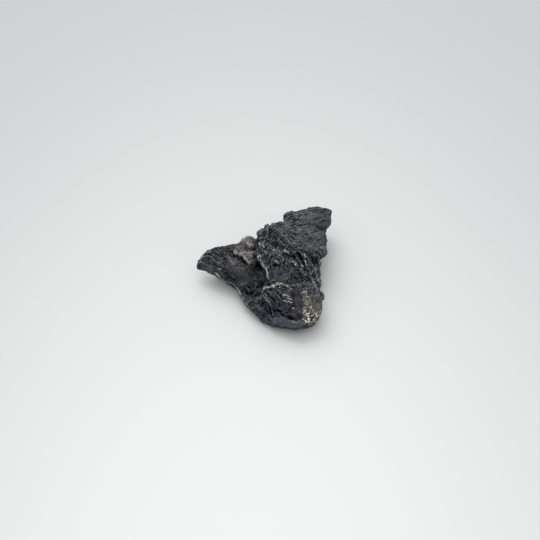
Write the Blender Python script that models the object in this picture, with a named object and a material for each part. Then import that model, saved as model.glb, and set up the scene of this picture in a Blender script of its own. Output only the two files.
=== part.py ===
"""Shrapnel meteorite: one torn and twisted fragment of meteoritic iron, at rest on a table.

Run with  blender --background --python part.py  or from Blender's text editor.
The fragment is a stout body with two flat arms, a blunt nose and a knob. Each mass of metal
is blocked out as a slab with a ring of corners round its top. The slabs grow together into
one skin, and folds, cracks, hollows and streaks are then worked into that skin.
+X is the right arm's side, +Y the back and +Z up, with the origin on the table under the
middle of the fragment.
"""

import bmesh
import bpy
import numpy as np
from mathutils import Matrix, Vector, noise

MM = 0.001

# Driving dimensions, in millimetres
SKIN_VOXEL = 0.35        # grid on which the slabs grow together
FINAL_VOXEL = 0.30       # grid that closes the worked skin again
SWELL = 0.20             # given back after the grid has rounded the slabs' corners
BELLY = 0.2              # lowest height of the underside between the feet
FLANK = 3.5              # height up to which the underside is rounded off
UNDERSIDE_ROUNDS = 20    # rounds of that smoothing
TABLE = 0.0              # the feet are worn flat at this height
PATH_EDGE = 1.4          # how sharp the middle of a fold or a crack is
LUMP_SIZE, LUMP_DEPTH = 5.5, 0.40          # broad unevenness of every face
KNOT_SIZE, KNOT_DEPTH = 1.9, 0.15          # hammered, knotty relief
STREAK_PITCH, STREAK_DEPTH = 1.7, 0.28     # drawn-out streaks of sheared metal
STREAK_STRETCH = 4.5                       # a streak's length over its pitch
TORN_SIZE, TORN_DEPTH = 3.4, 0.8           # deep tearing of the back and the underside
TORN_FACING = Vector((0.45, 0.75, -0.5)).normalized()
TORN_SPREAD = 1.5        # how far the tearing reaches onto faces that look another way
LUMP_SEED, TORN_SEED, KNOT_SEED, STREAK_SEED = 3.0, 5.0, 8.0, 17.0
TRIANGLES = 9000         # faces kept on the finished solid

# Masses of metal. crown is the ring of corners round the top. A plate has a thickness. The
# others taper down to a foot: base is the foot's height under the middle of the fragment,
# rise its change of height per millimetre in x and y, and lean its shift in x and y.
SLABS = {
    "left_arm": dict(
        crown=[(-22.2, 1.5, 5), (-21.8, 3.5, 6), (-19.5, 6, 7.5), (-16.5, 7, 8.5), (-14, 7, 8.5),
               (-10, 8, 9), (-2.5, 8, 9), (1.5, 0.5, 7.5), (3.5, -7, 5), (1, -10.5, 3.4),
               (-3, -12.5, 3.4), (-6.2, -12.4, 3.2), (-7.5, -10, 3.4), (-8.3, -7.8, 3.6),
               (-10.7, -5, 3.9), (-12.8, -3.9, 4.5), (-14.8, -3.2, 5), (-17, -1.2, 5),
               (-19.5, 0.5, 5)],
        thickness=2.0,
    ),
    "left_keel": dict(
        crown=[(-20.5, 2.5, 5), (-17, 5.5, 6), (-11, 7, 6.5), (-2, 8.5, 6.5), (1.5, 0.5, 5),
               (1, -8.5, 3), (-3.5, -12, 2.4), (-6.8, -8, 2.6), (-11, -3, 3.6), (-16, 0, 4.5)],
        base=1.0, rise=(-0.09, 0.0), taper=0.9, lean=(1.0, 0.0),
    ),
    "core": dict(
        crown=[(-3, 7, 7), (4, 12, 8), (9, 12, 8), (15, 6, 7), (16, -8, 6), (12, -15, 6),
               (2, -15, 5), (-4, -12, 4)],
        base=1.8, rise=(0.0, 0.05), taper=0.85, lean=(0.0, 0.0),
    ),
    "centre": dict(
        crown=[(-2.5, 4, 9.5), (-3, 8, 10.5), (-1.5, 11, 11), (0.5, 13.5, 11.5), (6.5, 16, 11.5),
               (12, 8.5, 11), (14.5, 1, 9), (17.5, 0, 6.5), (17.5, -6, 6), (16.5, -12.5, 7.5),
               (11, -13, 9), (5.5, -11, 8.5), (2.5, -10.5, 8), (1, -7, 8.5), (-0.5, -2, 9),
               (-2, 1, 9.5)],
        base=2.4, rise=(0.0, 0.15), taper=0.9, lean=(0.5, -1.0),
    ),
    "nose": dict(
        crown=[(-0.5, -12.5, 8), (0.5, -12, 8), (2.5, -11.5, 9), (6, -11, 9), (9.5, -11, 9.5),
               (13.5, -10, 9), (16.5, -12, 8.5), (17.5, -15, 8), (17.5, -18, 7.5),
               (16.8, -19.5, 7), (15.5, -21.2, 5.5), (13.5, -22.5, 4.5), (12, -23, 4.5),
               (9.5, -22, 5), (8, -21.5, 5.5), (5.5, -20, 6), (4, -19, 6.5), (2.5, -18, 6.5),
               (0.5, -15.5, 7)],
        base=-0.7, rise=(0.2, 0.0), taper=0.97, lean=(0.0, -0.4),
    ),
    "toe": dict(
        crown=[(-1.5, -17, 4.5), (0.5, -19.1, 4.1), (3, -20.8, 4.4), (6, -21.7, 4.7),
               (9, -23.1, 5), (12, -23.2, 5), (12, -17, 5), (3, -14, 5)],
        base=0.7, rise=(0.2, 0.0), taper=1.0, lean=(-0.4, -1.2),
    ),
    "flap": dict(
        crown=[(-0.5, -14.5, 9), (0, -12.5, 9.5), (1.5, -12.5, 9.5), (3.5, -11.5, 10),
               (5, -11.5, 10), (7, -12.5, 10), (8, -13.5, 9.5), (8.5, -15.5, 9),
               (9, -17.5, 8.5), (9.5, -19.5, 7), (10, -22, 6), (8, -21.5, 6), (5.5, -20, 6.5),
               (4, -19, 7), (2.5, -18, 7.5), (0.5, -16.5, 8)],
        thickness=2.0,
    ),
    "heel": dict(
        crown=[(-6.2, -12.5, 3.1), (-4.2, -11.5, 3.8), (-2, -12.3, 4.8), (0, -13.2, 5.2),
               (2, -16.2, 6.2), (5, -19.5, 6), (5.5, -21.3, 4), (3, -20.5, 2.8), (-0.6, -18.1, 2.7),
               (-2.6, -17.3, 2.8), (-3.6, -15.8, 3), (-5, -14.2, 3)],
        base=0.55, rise=(-0.1, 0.0), taper=1.0, lean=(0.0, 0.0),
    ),
    "right_arm": dict(
        crown=[(2, 15, 11.5), (4.5, 15.5, 11.5), (6, 16.5, 11.5), (6.5, 19.7, 11.5), (7.5, 21.2, 11),
               (11, 22, 11), (13.5, 23.5, 11), (15, 24.8, 10.5), (18.5, 26, 10), (22, 25.5, 9.5),
               (23.3, 24.3, 9.5), (21.5, 18, 9), (20.3, 14, 9), (20.2, 9.5, 9.5), (19.5, 6, 9.5),
               (19.5, 3.5, 9.5), (18.5, 1.5, 9.5), (16.5, 1.5, 9.5), (13.5, 3, 10.5), (9, 4.5, 11),
               (5.5, 8, 11.5)],
        base=1.6, rise=(0.0, 0.15), taper=0.92, lean=(-0.5, 0.0),
    ),
    "back_keel": dict(
        crown=[(9, 13.5, 6), (12, 20, 6), (17, 23, 6), (20, 21, 6), (19.5, 14, 5), (17, 9, 4),
               (12.5, 7, 4)],
        base=1.0, rise=(0.0, 0.0), taper=0.75, lean=(0.8, -3.0),
    ),
    "knob": dict(
        crown=[(-9.5, 3.5, 9.5), (-8.5, 5.5, 11), (-7, 7, 12), (-4.5, 7, 12), (-3, 6, 11.5),
               (-2, 2, 10), (-2.5, -0.8, 8.9), (-5, -1, 8.4), (-6.5, 0.6, 9), (-8.5, 2, 9)],
        base=6.3, rise=(0.0, 0.0), taper=1.0, lean=(0.0, 0.0),
    ),
    "knob_top": dict(
        crown=[(-8.3, 5.5, 11.5), (-7.3, 7.2, 12.2), (-4.5, 7.7, 12.6), (-3, 6.8, 12.2), (-2.5, 4, 11.5),
               (-5.5, 3.8, 11.2), (-7.5, 4, 11)],
        thickness=4.0,
    ),
    "knob_left": dict(
        crown=[(-10.1, 3.1, 9.2), (-9.5, 5, 11), (-8, 6, 11.2), (-6.8, 3.5, 10.4), (-7, 1.3, 9),
               (-8.8, 1.7, 8.9)],
        thickness=3.0,
    ),
    "knob_low": dict(
        crown=[(-6.5, 2.8, 10.4), (-3, 3, 10.7), (-2, 0.5, 9.8), (-3, -1.6, 8.5), (-5.2, -1.5, 8.3),
               (-6.6, 0.2, 8.9)],
        thickness=3.5,
    ),
}

# Rounded lumps that stand out of the slabs: centre, radii
NUBS = {
    "heel_upper": ((-2.5, -13.4, 3.4), (1.8, 1.4, 1.3)),
    "heel_lower": ((-0.5, -15.9, 3), (2.2, 1.5, 1.3)),
    "saddle": ((-7.5, -0.3, 5.7), (5.2, 4.2, 2.6)),
    "scale_a": ((-3, 8.5, 9), (1.1, 1.4, 1.5)),
    "scale_b": ((-1.5, 10.5, 9.5), (1.4, 1.3, 1.5)),
    "scale_c": ((-0.5, 12, 10), (1.3, 1.2, 1.4)),
    "scale_d": ((1, 13, 10.5), (1.2, 1.2, 1.4)),
    "elbow": ((18.5, 4.5, 8.5), (1.2, 1.4, 1.4)),
    "flange_top": ((17, -6.5, 5.5), (0.8, 1.2, 1.4)),
    "flange_low": ((17.5, -13.5, 6.5), (0.9, 1.2, 1.1)),
    "front_foot": ((5.5, -17.5, 1.2), (3.6, 2.8, 1.7)),
    "left_foot": ((-8, -1.5, 2), (5, 4, 2.6)),
    "back_foot": ((16.5, 13.5, 1.2), (2.8, 3.2, 1.8)),
}

# Folds (raised) and cracks (cut): height, half-width, then the points that they run through
PATHS = {
    "left_lip": (0.8, 1.0, [(-2.5, 5, 10), (-2, 0.5, 9.5), (-1, -1.5, 8.5), (0, -3.5, 9),
                            (1, -6, 8.5), (2, -9.5, 8)]),
    "upper_fold": (0.5, 1.3, [(2.5, 12.5, 11), (4.5, 11, 11.5), (5.5, 9, 11.5), (7, 7, 11.5),
                              (8.5, 5, 11), (11, 4.5, 11)]),
    "lower_fold": (0.6, 1.1, [(4.5, 7.5, 10.5), (6, 5, 10), (8.5, 3, 10), (10.5, 2.5, 9.5)]),
    "eye": (0.6, 0.9, [(2.5, -2, 9), (3, -0.5, 9.5), (4.5, -0.5, 9), (5, -2, 9)]),
    "swirl": (0.45, 1.0, [(-1, 0.5, 9.5), (0.5, 2, 9.5), (2, 1.5, 9.5), (3.5, 1.5, 9.5)]),
    "back_wrinkle": (0.45, 1.0, [(1, 12.5, 11), (0.5, 9.5, 10.5), (-0.5, 7, 10), (-0.5, 4, 9.5)]),
    "mid_fold": (0.5, 1.0, [(5.5, 1, 9.5), (7.5, -1, 9), (8.5, -3.5, 9), (10, -6.5, 8.5)]),
    "side_fold": (0.5, 1.0, [(9, -0.5, 9), (10.5, -3, 9), (12, -5.5, 8.5), (13.5, -8, 7.5)]),
    "side_edge": (0.6, 0.9, [(13, -3.5, 9), (14, -5.5, 8), (15, -7, 7.5), (16, -10, 7.5)]),
    "flap_lip": (0.5, 0.8, [(-0.5, -14, 9), (0.5, -12.5, 9.5), (1.5, -12.5, 9.5), (3.5, -11.5, 10),
                            (5, -11.5, 10), (7, -13, 10), (8, -14, 9.5)]),
    "arm_facet": (0.4, 1.2, [(-13.5, 5, 8), (-11, 1.2, 7.3), (-8.5, -3.5, 6.3), (-4.5, -5, 5.7)]),
    "arm_rim": (0.35, 1.2, [(-16.5, 2, 6.5), (-13, -0.6, 6.1), (-9.2, -4.4, 4.7), (-6.2, -8, 4)]),
    "heel_fold": (0.4, 0.9, [(-4.2, -13.2, 3.3), (-2.2, -15.4, 3.4), (0.3, -18, 3.4)]),
    "knob_seam": (-0.5, 0.9, [(-7.5, 6, 11), (-7, 4, 11), (-6, 3, 10.5), (-4, 3, 10.5), (-2.5, 4, 11)]),
    "right_spine": (0.4, 1.4, [(7.5, 17.5, 11.5), (12, 18, 10.5), (16, 20, 10.5), (20, 21, 9.5)]),
    "pit": (-0.9, 1.3, [(3, 6.5, 10), (4, 5.5, 10), (5.5, 4, 10)]),
    "fold_gap": (-0.9, 0.9, [(7, 1.5, 9.5), (8, 1, 9.5), (9.5, 1, 9.5)]),
    "side_slot": (-1.2, 0.8, [(11, 2.5, 9.5), (11.5, 0.5, 9), (12.5, -2.5, 9), (13, -4.5, 8.5)]),
    "side_hollow": (-0.9, 1.6, [(15, 0.5, 8), (15.8, -2.5, 7.5), (16, -5.5, 7)]),
    "side_strand": (0.7, 0.8, [(13.8, 1, 9), (14.6, -1.5, 8.5), (15, -4, 8), (15.5, -6.5, 7)]),
    "flap_crack": (-0.6, 0.6, [(8.5, -13, 8.5), (9, -14.5, 8), (9.5, -16, 7)]),
    "face_groove": (-0.6, 0.7, [(4, -19, 6), (5.5, -20, 5.5), (6.5, -20.5, 5.5), (8, -21.5, 5),
                                (9.5, -22, 4.5)]),
    "flange_slot": (-1.3, 0.7, [(16.5, -8, 7.5), (17, -9.5, 6.5), (17.5, -11.5, 6)]),
    "heel_crack": (-0.5, 0.7, [(2, -17.5, 6), (2.5, -19.5, 5.5), (3, -20.5, 3.5)]),
    "knob_crack": (-0.5, 0.6, [(-10.3, 2.7, 8.4), (-9, 2.2, 8.4), (-7.6, 1.7, 8.3), (-6.9, 0.2, 8.1), (-5.6, -1, 7.9), (-3.5, -1.3, 7.9)]),
    "crevice": (-1.4, 1.9, [(-1, -6.5, 5.2), (-0.5, -8.5, 4.6), (-1.5, -10.3, 4.2), (-3, -11.2, 4.2)]),
    "arm_notch": (-0.9, 0.8, [(18.5, 14.5, 9.5), (20, 14.5, 9), (21, 14.5, 6.5)]),
    "arm_crease": (-0.5, 0.9, [(5.5, 14, 11.5), (8, 14, 11), (10.5, 14.5, 10.5), (13.5, 15.5, 10.5),
                               (16, 16, 10), (19, 15, 9.5), (20.5, 15, 9)]),
    "right_wall": (0.7, 1.8, [(17, -1.5, 4), (17.5, -6, 4.5), (17.5, -10.5, 3.5), (16.5, -15, 3)]),
    "right_wall_gap": (-0.8, 1.4, [(17, -3, 6), (17.5, -8, 3), (17, -12, 5)]),
    "arm_wall": (0.6, 1.6, [(20, 5, 6), (20.5, 10, 6.5), (21, 16, 6.5), (22, 22, 7)]),
    "back_wall": (0.7, 1.8, [(0, 12, 7), (4, 14.5, 8), (7, 18, 8), (11, 21.5, 8), (16, 24.5, 8)]),
    "back_gap": (-0.8, 1.4, [(2, 12, 6), (5, 14.5, 5.5), (7.5, 19, 6)]),
    "left_back_lip": (0.5, 1.2, [(-16, 6, 6.5), (-11, 7.5, 7), (-6, 8, 7)]),
    "left_edge_gap": (-0.3, 0.8, [(-16, -1.2, 4), (-12.8, -3, 3.5), (-9.3, -6, 2.7), (-7, -9.6, 2.2), (-5, -12.8, 2.1)]),
    "keel_fold": (0.8, 2.0, [(-12, 3, 1.5), (-4, 6, 1), (2, 9, 1.5), (8, 10, 2)]),
    "belly_fold": (0.7, 2.0, [(-4, -6, 0.5), (0, -1, 0.5), (6, 3, 0.5), (13, 4, 1)]),
    "nose_fold": (0.6, 1.8, [(9, -8, 0.5), (12, -10, 0.5), (16, -9, 1.5)]),
}

# Directions in which the metal was drawn: centre of the region, direction, reach, strength
FLOWS = {
    "left_arm": ((-12, 1, 6.5), (0.84, -0.54, 0), 8.0, 0.4),
    "middle": ((4, -1, 9.5), (0.62, -0.78, 0), 6.0, 1.0),
    "folds": ((9, 5.5, 11), (0.76, -0.65, 0), 4.0, 1.0),
    "right_arm": ((16, 16, 10), (0.76, 0.64, 0), 9.0, 0.6),
    "right_side": ((15, -2, 8), (0.3, -0.9, -0.3), 4.0, 1.6),
    "flap": ((4, -15.5, 9), (0.80, -0.60, 0), 5.0, 0.7),
    "nose_wall": ((9, -22, 2.5), (1.0, -0.05, 0.15), 7.0, 0.6),
    "nose": ((16, -15, 7.5), (0.10, -1.0, 0), 4.0, 0.8),
    "underside": ((2, -2, 0), (0.45, 0.89, 0), 9.0, 1.0),
}

# Hollows melted into the underside and the back: centre, radius, depth
THUMBPRINTS = {
    "under_left": ((-3, 2.5, 0.8), 4.2, 1.6),
    "under_middle": ((3.5, -5, 0.4), 5.0, 2.0),
    "under_right": ((10.5, 0, 0.6), 4.6, 1.8),
    "under_nose": ((12.5, -13.5, 1.0), 4.4, 1.6),
    "under_back": ((8, 9, 2.4), 4.0, 1.4),
    "under_arm": ((18, 21.5, 4.8), 3.4, 1.0),
    "back_wall": ((4.5, 14, 7), 3.4, 1.0),
    "arm_end": ((20, 24.5, 7), 2.8, 0.7),
    "arm_back": ((-14, 6.5, 5), 3.0, 0.8),
}


def clear_scene():
    """Start from an empty scene, keeping the file that the script runs from."""
    for obj in list(bpy.data.objects):
        bpy.data.objects.remove(obj)


def foot_ring(crown, base, rise, taper, lean):
    """The ring of corners under a crown: drawn in, shifted and sloped, but above the belly."""
    middle = np.mean(crown, axis=0)[:2]
    ring = []
    for x, y, _ in crown:
        foot_x, foot_y = middle + (np.array((x, y)) - middle) * taper + lean
        height = base + rise[0] * foot_x + rise[1] * foot_y
        ring.append((foot_x, foot_y, max(height, BELLY)))
    return ring


def add_slab(bm, crown, thickness=None, **foot):
    """Loft one closed slab between its upper and lower ring."""
    if thickness is None:
        under = foot_ring(crown, **foot)
    else:
        under = [(x, y, z - thickness) for x, y, z in crown]
    upper = [bm.verts.new(Vector(point) * MM) for point in crown]
    lower = [bm.verts.new(Vector(point) * MM) for point in under]
    faces = [bm.faces.new(upper), bm.faces.new(lower[::-1])]
    for i in range(len(upper)):
        faces.append(bm.faces.new((upper[i], upper[i - 1], lower[i - 1], lower[i])))
    flat = bmesh.ops.triangulate(bm, faces=faces)
    bmesh.ops.recalc_face_normals(bm, faces=flat["faces"])


def add_nub(bm, centre, radii):
    """Add one rounded lump."""
    place = Matrix.Translation(Vector(centre) * MM)
    stretch = Matrix.Diagonal((*(Vector(radii) * MM), 1.0))
    bmesh.ops.create_icosphere(bm, subdivisions=3, radius=1.0, matrix=place @ stretch)


def block_out():
    """All slabs and nubs in one mesh. They overlap and are not joined yet."""
    bm = bmesh.new()
    for slab in SLABS.values():
        add_slab(bm, **slab)
    for centre, radii in NUBS.values():
        add_nub(bm, centre, radii)
    mesh = bpy.data.meshes.new("meteorite")
    bm.to_mesh(mesh)
    bm.free()
    obj = bpy.data.objects.new("meteorite", mesh)
    bpy.context.scene.collection.objects.link(obj)
    return obj


def bake_modifiers(obj):
    """Make what the modifiers give the object's own mesh."""
    graph = bpy.context.evaluated_depsgraph_get()
    obj.data = bpy.data.meshes.new_from_object(obj.evaluated_get(graph))
    obj.modifiers.clear()


def grow_skin(obj, voxel):
    """Join everything that overlaps into one closed skin."""
    remesh = obj.modifiers.new("Skin", "REMESH")
    remesh.mode = "VOXEL"
    remesh.voxel_size = voxel * MM
    bake_modifiers(obj)


def relax(obj, rounds, group=""):
    """Smooth the skin, all over or on one group of its points."""
    smooth = obj.modifiers.new("Relax", "SMOOTH")
    smooth.iterations = rounds
    smooth.factor = 0.5
    smooth.vertex_group = group
    bake_modifiers(obj)


def mark_underside(obj):
    """Group the low points, fading out where the flanks begin."""
    group = obj.vertex_groups.new(name="underside")
    for vert in obj.data.vertices:
        low = (FLANK - vert.co.z / MM) / (FLANK - BELLY)
        group.add([vert.index], min(max(low, 0.0), 1.0), "REPLACE")


def read_points(obj):
    """The mesh's points in millimetres, and its point normals."""
    count = len(obj.data.vertices)
    points = np.empty(count * 3, np.float32)
    normals = np.empty(count * 3, np.float32)
    obj.data.vertices.foreach_get("co", points)
    obj.data.vertex_normals.foreach_get("vector", normals)
    return points.reshape(-1, 3).astype(float) / MM, normals.reshape(-1, 3).astype(float)


def push(obj, amount):
    """Move each point along its normal by its own amount in millimetres."""
    points, normals = read_points(obj)
    moved = (points + normals * amount[:, None]) * MM
    obj.data.vertices.foreach_set("co", moved.astype(np.float32).ravel())
    obj.data.update()


def distance_to_path(points, path):
    """Shortest distance from each point to a path of straight pieces."""
    path = np.array(path, float)
    nearest = np.full(len(points), np.inf)
    for start, end in zip(path[:-1], path[1:]):
        step = end - start
        share = np.clip((points - start) @ step / (step @ step), 0.0, 1.0)
        away = np.linalg.norm(points - start - share[:, None] * step, axis=1)
        nearest = np.minimum(nearest, away)
    return nearest


def work_paths(points):
    """Folds raised and cracks cut, with sharp middles and soft flanks."""
    amount = np.zeros(len(points))
    for height, width, path in PATHS.values():
        near = np.clip(1.0 - distance_to_path(points, path) / width, 0.0, 1.0)
        amount += height * near ** PATH_EDGE
    return amount


def press_thumbprints(points):
    """Round hollows with soft rims, as hot air leaves them on the way down."""
    amount = np.zeros(len(points))
    for centre, radius, depth in THUMBPRINTS.values():
        away = np.linalg.norm(points - np.array(centre), axis=1) / radius
        amount -= depth * np.clip(1.0 - away ** 2, 0.0, 1.0) ** 2
    return amount


def fractal(points, size, seed):
    """Two octaves of noise, of about -1 to 1, on features of this size."""
    return np.array([
        noise.fractal(Vector(point) / size + Vector((seed, 0.0, 0.0)), 1.0, 2.0, 2)
        for point in points
    ])


def drawn_streaks(points):
    """Noise stretched along each region's flow, mixed by how near the region is."""
    total = np.zeros(len(points))
    weights = np.full(len(points), 1e-6)
    for number, (centre, direction, reach, strength) in enumerate(FLOWS.values(), start=1):
        away = np.linalg.norm(points - np.array(centre), axis=1) / reach
        weight = np.exp(-2.0 * away ** 2)
        turned = points @ np.array(Vector(direction).to_track_quat("X", "Z").to_matrix())
        turned[:, 0] /= STREAK_STRETCH
        total += weight * strength * fractal(turned, STREAK_PITCH, STREAK_SEED * number)
        weights += weight
    return total / weights


def work_surface(obj):
    """Everything that is worked into the skin, broad forms first."""
    points, _ = read_points(obj)
    push(obj, SWELL + work_paths(points) + press_thumbprints(points))
    points, normals = read_points(obj)
    torn = np.clip(normals @ np.array(TORN_FACING) * TORN_SPREAD, 0.0, 1.0)
    push(
        obj,
        LUMP_DEPTH * fractal(points, LUMP_SIZE, LUMP_SEED)
        + TORN_DEPTH * torn * fractal(points, TORN_SIZE, TORN_SEED)
        + KNOT_DEPTH * fractal(points, KNOT_SIZE, KNOT_SEED)
        + STREAK_DEPTH * drawn_streaks(points),
    )


def thin_out(obj):
    """Keep the faces where the surface bends, down to the wanted number of triangles."""
    decimate = obj.modifiers.new("Thin out", "DECIMATE")
    decimate.ratio = TRIANGLES / (2 * len(obj.data.polygons))
    decimate.use_collapse_triangulate = True
    bake_modifiers(obj)


def wear_feet(obj):
    """Wear the feet flat and level. The fragment rests on them."""
    bm = bmesh.new()
    bm.from_mesh(obj.data)
    bmesh.ops.bisect_plane(
        bm,
        geom=bm.verts[:] + bm.edges[:] + bm.faces[:],
        dist=1e-7,
        plane_co=(0.0, 0.0, TABLE * MM),
        plane_no=(0.0, 0.0, -1.0),
        clear_outer=True,
    )
    rims = [edge for edge in bm.edges if edge.is_boundary]
    bmesh.ops.holes_fill(bm, edges=rims, sides=0)
    bmesh.ops.triangulate(bm, faces=[face for face in bm.faces if len(face.verts) > 3])
    bmesh.ops.recalc_face_normals(bm, faces=bm.faces)
    bm.to_mesh(obj.data)
    bm.free()


def centre_on_footprint(obj):
    """Put the origin on the table, under the middle of the box."""
    points, _ = read_points(obj)
    low, high = points.min(axis=0), points.max(axis=0)
    middle = Vector(((low[0] + high[0]) / 2, (low[1] + high[1]) / 2, low[2]))
    obj.data.transform(Matrix.Translation(-middle * MM))


def iron_crust():
    """Dark blue-grey oxide skin over iron."""
    material = bpy.data.materials.new("iron_crust")
    material.use_nodes = True
    shader = material.node_tree.nodes["Principled BSDF"]
    shader.inputs["Base Color"].default_value = (0.055, 0.055, 0.062, 1.0)
    shader.inputs["Metallic"].default_value = 0.7
    shader.inputs["Roughness"].default_value = 0.5
    return material


def main():
    clear_scene()
    meteorite = block_out()
    grow_skin(meteorite, SKIN_VOXEL)
    relax(meteorite, 3)
    mark_underside(meteorite)
    relax(meteorite, UNDERSIDE_ROUNDS, "underside")
    work_surface(meteorite)
    grow_skin(meteorite, FINAL_VOXEL)
    relax(meteorite, 1)
    thin_out(meteorite)
    wear_feet(meteorite)
    centre_on_footprint(meteorite)
    meteorite.data.materials.append(iron_crust())


main()
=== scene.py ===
# %% [markdown]
# # A shrapnel meteorite: finishing a torn piece of iron
# An iron meteoroid that bursts low in the air leaves shrapnel: twisted, torn metal with sharp
# lips, drawn-out fibres and a thin blue-grey oxide. This lesson works that skin into a plain
# solid, as a sculptor would: broad forms first, then cracks, lips and grains, and last the
# colours. Run the cells in order. The frame is in metres with +Z up, sculpting in millimetres.

import math

import bmesh
import bpy
import numpy as np
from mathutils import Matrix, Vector, bvhtree, kdtree, noise


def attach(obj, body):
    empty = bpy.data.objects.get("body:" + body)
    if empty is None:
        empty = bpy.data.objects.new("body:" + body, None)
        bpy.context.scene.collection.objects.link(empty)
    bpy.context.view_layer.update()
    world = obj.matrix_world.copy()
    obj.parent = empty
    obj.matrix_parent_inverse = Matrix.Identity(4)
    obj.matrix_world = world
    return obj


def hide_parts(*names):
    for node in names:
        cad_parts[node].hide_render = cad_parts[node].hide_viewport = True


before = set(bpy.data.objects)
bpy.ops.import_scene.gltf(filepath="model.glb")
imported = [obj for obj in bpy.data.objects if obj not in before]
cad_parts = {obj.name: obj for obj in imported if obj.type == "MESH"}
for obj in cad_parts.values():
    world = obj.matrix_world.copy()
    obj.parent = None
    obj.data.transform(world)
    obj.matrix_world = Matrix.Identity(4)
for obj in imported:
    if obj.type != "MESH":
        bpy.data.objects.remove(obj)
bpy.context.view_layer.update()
MM = 0.001
NOISE_SEED = 6
noise.seed_set(NOISE_SEED)  # without it, the noise of vectors is different in every run
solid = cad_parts["meteorite"]

# %% [markdown]
# ## The camera
# The camera looks down on the piece at 45 degrees from a quarter of a metre away. That is about
# five times its length, so there is little perspective and the fragment keeps its proportions.

# %% Camera
TARGET = Vector((1.267, 3.580, 0.0)) * MM
DISTANCE = 250 * MM
ELEVATION = math.radians(45)
LENS, SENSOR, VIEW_SIDE = 50.0, 36.0, 540
CLIP_START = 10 * MM

def in_scene(obj):
    """Link a new object to the scene."""
    bpy.context.scene.collection.objects.link(obj)
    return obj

towards_camera = Vector((0, -math.cos(ELEVATION), math.sin(ELEVATION)))
view_up = Vector((0, math.sin(ELEVATION), math.cos(ELEVATION)))
camera_data = bpy.data.cameras.new("camera")
camera_data.lens = LENS
camera_data.sensor_width = SENSOR
camera_data.clip_start = CLIP_START
camera = in_scene(bpy.data.objects.new("camera", camera_data))
camera.location = TARGET + towards_camera * DISTANCE
camera.rotation_euler = (math.radians(90) - ELEVATION, 0, 0)
bpy.context.scene.camera = camera
print("camera at", camera.location)

# %% [markdown]
# ## A fine skin
# The solid has large flat faces, and sculpting needs many small, even ones. Voxel Remesh lays
# an even grid over a copy, and smoothing takes the old facets out. Subdividing would keep the
# long thin triangles, which fold over when pushed.

# %% Fine skin
FIRST_VOXEL, FIRST_ROUNDS = 0.25 * MM, 4
FINE_VOXEL, FINE_ROUNDS = 0.225 * MM, 1
RELAX_FACTOR = 0.5
MERGE_DISTANCE = 0.0005 * MM

def even_skin(obj, voxel, rounds):
    """Lay an even grid over the object, smooth it, and make the result its own mesh."""
    remesh = obj.modifiers.new("Even skin", "REMESH")
    remesh.mode = "VOXEL"
    remesh.voxel_size = voxel
    smooth = obj.modifiers.new("Relax", "SMOOTH")
    smooth.iterations = rounds
    smooth.factor = RELAX_FACTOR
    graph = bpy.context.evaluated_depsgraph_get()
    old = obj.data
    obj.data = bpy.data.meshes.new_from_object(obj.evaluated_get(graph))
    obj.modifiers.clear()
    bpy.data.meshes.remove(old)

def new_piece(name, bm):
    """An object in the scene with this bmesh as its mesh."""
    mesh = bpy.data.meshes.new(name)
    bm.to_mesh(mesh)
    bm.free()
    return in_scene(bpy.data.objects.new(name, mesh))

bm = bmesh.new()
bm.from_mesh(solid.data)
bmesh.ops.remove_doubles(bm, verts=bm.verts, dist=MERGE_DISTANCE)
iron = new_piece("torn_iron", bm)
even_skin(iron, FIRST_VOXEL, FIRST_ROUNDS)
print("first skin:", len(iron.data.vertices), "points")

# %% [markdown]
# ## Tools for sculpting in code
# Mesh data can be read and written as whole arrays, much faster than point by point. Each
# sculpting step measures something at each point, turns it into a height, and pushes the points
# along their normals. Noise has features of a given size in millimetres, and another seed gives
# another pattern.

# %% Read and push
def read_skin(obj):
    """The object's points in millimetres, and its point normals."""
    points, normals = np.empty((2, len(obj.data.vertices) * 3), np.float32)
    obj.data.vertices.foreach_get("co", points)
    obj.data.vertex_normals.foreach_get("vector", normals)
    return points.reshape(-1, 3).astype(float) / MM, normals.reshape(-1, 3).astype(float)

def write_skin(obj, points):
    """Put the points back."""
    obj.data.vertices.foreach_set("co", (points * MM).astype(np.float32).ravel())
    obj.data.update()

def push(obj, height):
    """Move each point along its normal by its own height in millimetres."""
    points, normals = read_skin(obj)
    write_skin(obj, points + normals * height[:, None])

def noise_at(points, size, seed, amount=1.0):
    """Smooth noise at each point, from about minus the amount to the amount."""
    shift = Vector((seed, seed, seed))
    return amount * np.array([noise.noise(Vector(p) / size + shift) for p in points])

def skin_tree(obj):
    """The object's faces, ready for rays."""
    return bvhtree.BVHTree.FromObject(obj, bpy.context.evaluated_depsgraph_get())

def edges_of(obj):
    """The numbers of the two points of every edge."""
    edges = np.empty(2 * len(obj.data.edges), np.int32)
    obj.data.edges.foreach_get("vertices", edges)
    return edges.reshape(-1, 2)

def smoothed(points, edges, rounds):
    """The points after rounds of averaging each with its neighbours."""
    count = np.bincount(edges.ravel(), minlength=len(points))[:, None]
    for _ in range(rounds):
        total = np.zeros(points.shape)
        for axis in range(3):
            total[:, axis] = np.bincount(edges[:, 0], points[edges[:, 1], axis], len(points))
            total[:, axis] += np.bincount(edges[:, 1], points[edges[:, 0], axis], len(points))
        points = 0.5 * points + 0.5 * total / count
    return points

points, normals = read_skin(iron)
print("height in mm:", points[:, 2].max())

# %% [markdown]
# ## Calm places
# The solid carries long grooves along each part. Where the metal only bent, as on the left arm,
# real grooves are finer. So the long ones are smoothed out there, on the faces that look up.

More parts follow.
